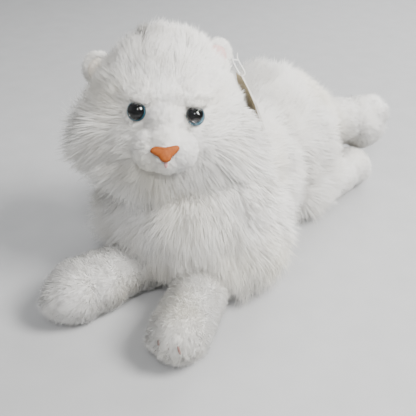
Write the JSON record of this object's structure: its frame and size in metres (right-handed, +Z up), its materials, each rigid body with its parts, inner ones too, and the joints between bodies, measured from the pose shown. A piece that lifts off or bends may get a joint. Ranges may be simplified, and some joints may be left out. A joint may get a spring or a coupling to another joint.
{
  "type": "plush cat",
  "caption": "Soft toy cat lying on its belly with splayed legs, a turned head, set-in eyes and a swing tag on one ear.",
  "frame": {"origin": "on the floor, under the middle of the part's bounding box", "axes": "+Z up; the body faces -Y; +X is the cat's own left"},
  "size_m": [0.1996, 0.3372, 0.1815],
  "materials": {
    "long_pile": "long white pile, brushed",
    "short_pile": "short white pile",
    "stuffing": "loose fibre",
    "pellet_cloth": "plain woven cloth",
    "ear_plush": "pale pink plush",
    "clear_plastic": "clear and polished",
    "iris_paint": "printed, under the dome",
    "black_plastic": "moulded",
    "washer_plastic": "moulded",
    "nose_plastic": "satin",
    "mouth_thread": "embroidery thread",
    "toe_thread": "embroidery thread",
    "card": "plain, folded",
    "fastener_plastic": "thin and flexible"
  },
  "bodies": {
    "torso": {"torso_cover": "long_pile", "belly_panel": "short_pile", "torso_stuffing": "stuffing", "pellet_bag": "pellet_cloth"},
    "neck": {"neck_cover": "long_pile"},
    "head": {"head_cover": "long_pile", "muzzle_cover": "short_pile", "head_stuffing": "stuffing", "muzzle_stuffing": "stuffing", "left_ear_back": "short_pile", "left_ear_lining": "ear_plush", "right_ear_back": "short_pile", "right_ear_lining": "ear_plush", "left_eye_dome": "clear_plastic", "left_eye_iris": "iris_paint", "left_eye_stem": "black_plastic", "left_eye_washer": "washer_plastic", "right_eye_dome": "clear_plastic", "right_eye_iris": "iris_paint", "right_eye_stem": "black_plastic", "right_eye_washer": "washer_plastic", "nose": "nose_plastic", "nose_washer": "washer_plastic", "mouth_stitch": "mouth_thread", "tag_fastener": "fastener_plastic"},
    "front_left_leg": {"front_left_leg_cover": "short_pile", "front_left_leg_stuffing": "stuffing", "front_left_toe_stitches": "toe_thread"},
    "front_right_leg": {"front_right_leg_cover": "short_pile", "front_right_leg_stuffing": "stuffing", "front_right_toe_stitches": "toe_thread"},
    "left_hind_leg": {"left_hind_leg_cover": "short_pile", "left_hind_leg_stuffing": "stuffing"},
    "right_hind_leg": {"right_hind_leg_cover": "short_pile", "right_hind_leg_stuffing": "stuffing"},
    "tail": {"tail_cover": "short_pile", "tail_stuffing": "stuffing"},
    "tag": {"swing_tag": "card"}
  },
  "joints": [
    {"name": "head_turn", "type": "hinge", "parent": "torso", "child": "neck", "pos_m": [0.0006, -0.0649, 0.124], "axis": [0, 0, 1], "range_deg": [-20, 20]},
    {"name": "head_nod", "type": "hinge", "parent": "neck", "child": "head", "pos_m": [0.0006, -0.0649, 0.124], "axis": [0.848, 0.5299, 0], "range_deg": [-8, 8]},
    {"name": "front_left_leg_swing", "type": "hinge", "parent": "torso", "child": "front_left_leg", "pos_m": [0.0446, -0.0889, 0.021], "axis": [0, 0, 1], "range_deg": [-10, 12]},
    {"name": "front_right_leg_swing", "type": "hinge", "parent": "torso", "child": "front_right_leg", "pos_m": [-0.0054, -0.0949, 0.021], "axis": [0, 0, 1], "range_deg": [-12, 10]},
    {"name": "left_hind_leg_swing", "type": "hinge", "parent": "torso", "child": "left_hind_leg", "pos_m": [0.0256, 0.1021, 0.0575], "axis": [0, 0, 1], "range_deg": [-12, 12]},
    {"name": "right_hind_leg_swing", "type": "hinge", "parent": "torso", "child": "right_hind_leg", "pos_m": [0.0616, 0.0571, 0.017], "axis": [0, 0, 1], "range_deg": [-10, 10]},
    {"name": "tail_swing", "type": "hinge", "parent": "torso", "child": "tail", "pos_m": [-0.0104, 0.0891, 0.016], "axis": [0, 0, 1], "range_deg": [-6, 5]},
    {"name": "tag_swing", "type": "hinge", "parent": "head", "child": "tag", "pos_m": [0.0366, -0.0349, 0.155], "axis": [0.6947, -0.7193, 0], "range_deg": [0, 24]}
  ]
}
